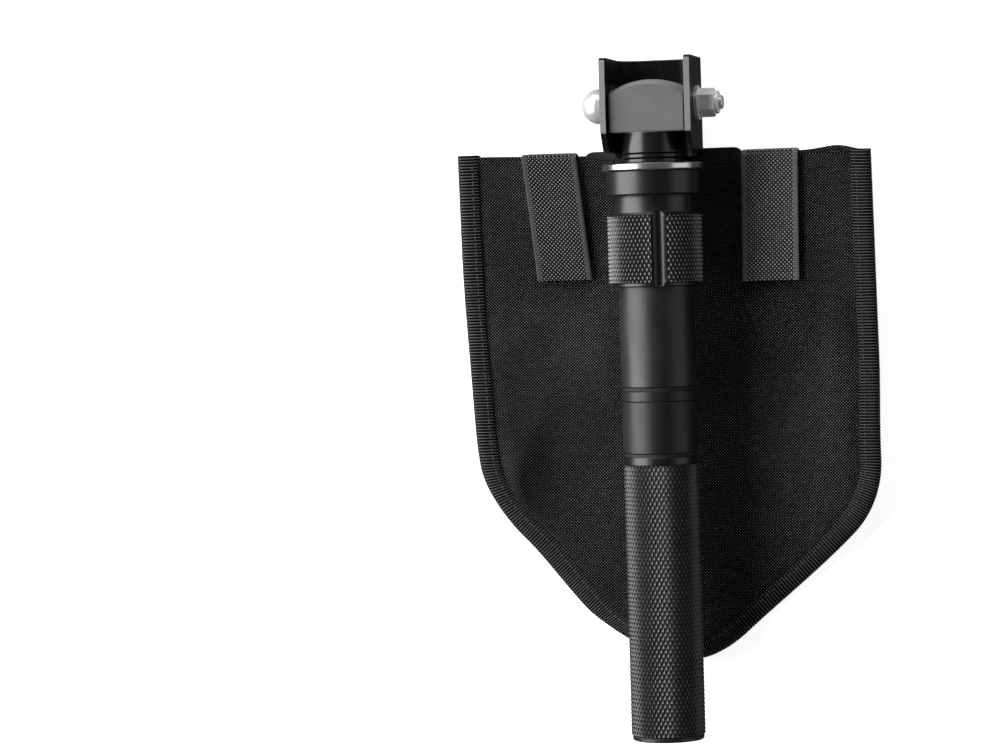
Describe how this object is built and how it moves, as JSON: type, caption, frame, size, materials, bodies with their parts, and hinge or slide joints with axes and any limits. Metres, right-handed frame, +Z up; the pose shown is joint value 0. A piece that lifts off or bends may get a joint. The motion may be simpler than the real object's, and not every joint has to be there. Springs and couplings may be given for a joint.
{
  "type": "folding camp shovel",
  "caption": "Folding camp shovel with a dished pointed blade in a strapped fabric cover, a clevis pivot, a screw lock collar and a sectional tube handle folded over the blade.",
  "frame": {"origin": "on the floor under the middle of the folded shovel's box; the shovel lies on the back of its cover", "axes": "+X along the pivot bolt towards its nut, +Y along the handle from its free end towards the yoke, +Z up, from the cover's back towards the handle"},
  "size_m": [0.1784, 0.2926, 0.0505],
  "materials": {
    "blade_coating": "black powder coat, satin",
    "yoke_coating": "black coated steel plate, bare worn edges",
    "rivet_steel": "blackened steel",
    "bright_steel": "polished stainless",
    "nylon": "black nylon",
    "anodised_block": "dark anodised, milled satin",
    "ring_steel": "polished steel",
    "anodised": "black anodised, diamond knurl",
    "seal_rubber": "black rubber",
    "cover_fabric": "coarse black polyester weave",
    "binding_tape": "ribbed black binding tape",
    "webbing": "black webbing",
    "hook_and_loop": "black hook and loop tape"
  },
  "bodies": {
    "blade": {"blade": "blade_coating", "yoke": "yoke_coating", "yoke_rivets": "rivet_steel", "pivot_bolt": "bright_steel", "pivot_washer": "bright_steel", "pivot_nut": "bright_steel", "friction_washer_left": "nylon", "friction_washer_right": "nylon"},
    "handle": {"pivot_block": "anodised_block", "upper_tube": "anodised"},
    "nut_ring": {"thrust_ring": "ring_steel"},
    "lock_nut": {"lock_nut": "anodised"},
    "coupler_ring": {"coupler_seal": "seal_rubber"},
    "coupler": {"coupler": "anodised"},
    "grip_ring": {"grip_seal": "seal_rubber"},
    "grip": {"grip_tube": "anodised"},
    "cap_ring": {"cap_seal": "seal_rubber"},
    "end_cap": {"end_cap": "anodised"},
    "cover": {"cover_front": "cover_fabric", "cover_back": "cover_fabric", "cover_binding": "binding_tape", "loop_pad_left": "hook_and_loop", "loop_pad_right": "hook_and_loop"},
    "strap_left": {"strap_left": "webbing", "hook_pad_left": "hook_and_loop"},
    "strap_right": {"strap_right": "webbing", "hook_pad_right": "hook_and_loop"}
  },
  "joints": [
    {"name": "fold", "type": "hinge", "parent": "blade", "child": "handle", "pos_m": [0, 0.12615, 0.0287], "axis": [-1, 0, 0], "range_deg": [0, 180]},
    {"name": "lock_nut_travel", "type": "slide", "parent": "handle", "child": "nut_ring", "axis": [0, 1, 0], "range_m": [0, 0.005]},
    {"name": "lock_nut_turn", "type": "hinge", "parent": "nut_ring", "child": "lock_nut", "pos_m": [0, 0.07615, 0.0287], "axis": [0, 1, 0], "range_deg": [0, 588]},
    {"name": "coupler_travel", "type": "slide", "parent": "handle", "child": "coupler_ring", "axis": [0, -1, 0], "range_m": [0, 0.0145]},
    {"name": "coupler_turn", "type": "hinge", "parent": "coupler_ring", "child": "coupler", "pos_m": [0, -0.00885, 0.0287], "axis": [0, -1, 0], "range_deg": [0, 2592]},
    {"name": "grip_travel", "type": "slide", "parent": "coupler", "child": "grip_ring", "axis": [0, -1, 0], "range_m": [0, 0.0145]},
    {"name": "grip_turn", "type": "hinge", "parent": "grip_ring", "child": "grip", "pos_m": [0, -0.08385, 0.0287], "axis": [0, -1, 0], "range_deg": [0, 2592]},
    {"name": "end_cap_travel", "type": "slide", "parent": "grip", "child": "cap_ring", "axis": [0, -1, 0], "range_m": [0, 0.0145]},
    {"name": "end_cap_turn", "type": "hinge", "parent": "cap_ring", "child": "end_cap", "pos_m": [0, -0.14485, 0.0287], "axis": [0, -1, 0], "range_deg": [0, 2592]},
    {"name": "cover_slide", "type": "slide", "parent": "blade", "child": "cover", "axis": [0, -1, 0], "range_m": [0, 0.235]},
    {"name": "strap_left_open", "type": "hinge", "parent": "cover", "child": "strap_left", "pos_m": [-0.049, 0.1055, 0.00221], "axis": [-0.9918, 0, 0.1279], "range_deg": [0, 100], "deforming": ["strap_left"]},
    {"name": "strap_right_open", "type": "hinge", "parent": "cover", "child": "strap_right", "pos_m": [0.0475, 0.1055, 0.00202], "axis": [-0.9927, 0, -0.1203], "range_deg": [0, 100], "deforming": ["strap_right"]}
  ],
  "couplings": [
    {"joint": "lock_nut_travel", "follows": "lock_nut_turn", "m_per_rad": 0.00047746},
    {"joint": "coupler_travel", "follows": "coupler_turn", "m_per_rad": 0.00031831},
    {"joint": "grip_travel", "follows": "grip_turn", "m_per_rad": 0.00031831},
    {"joint": "end_cap_travel", "follows": "end_cap_turn", "m_per_rad": 0.00031831}
  ]
}
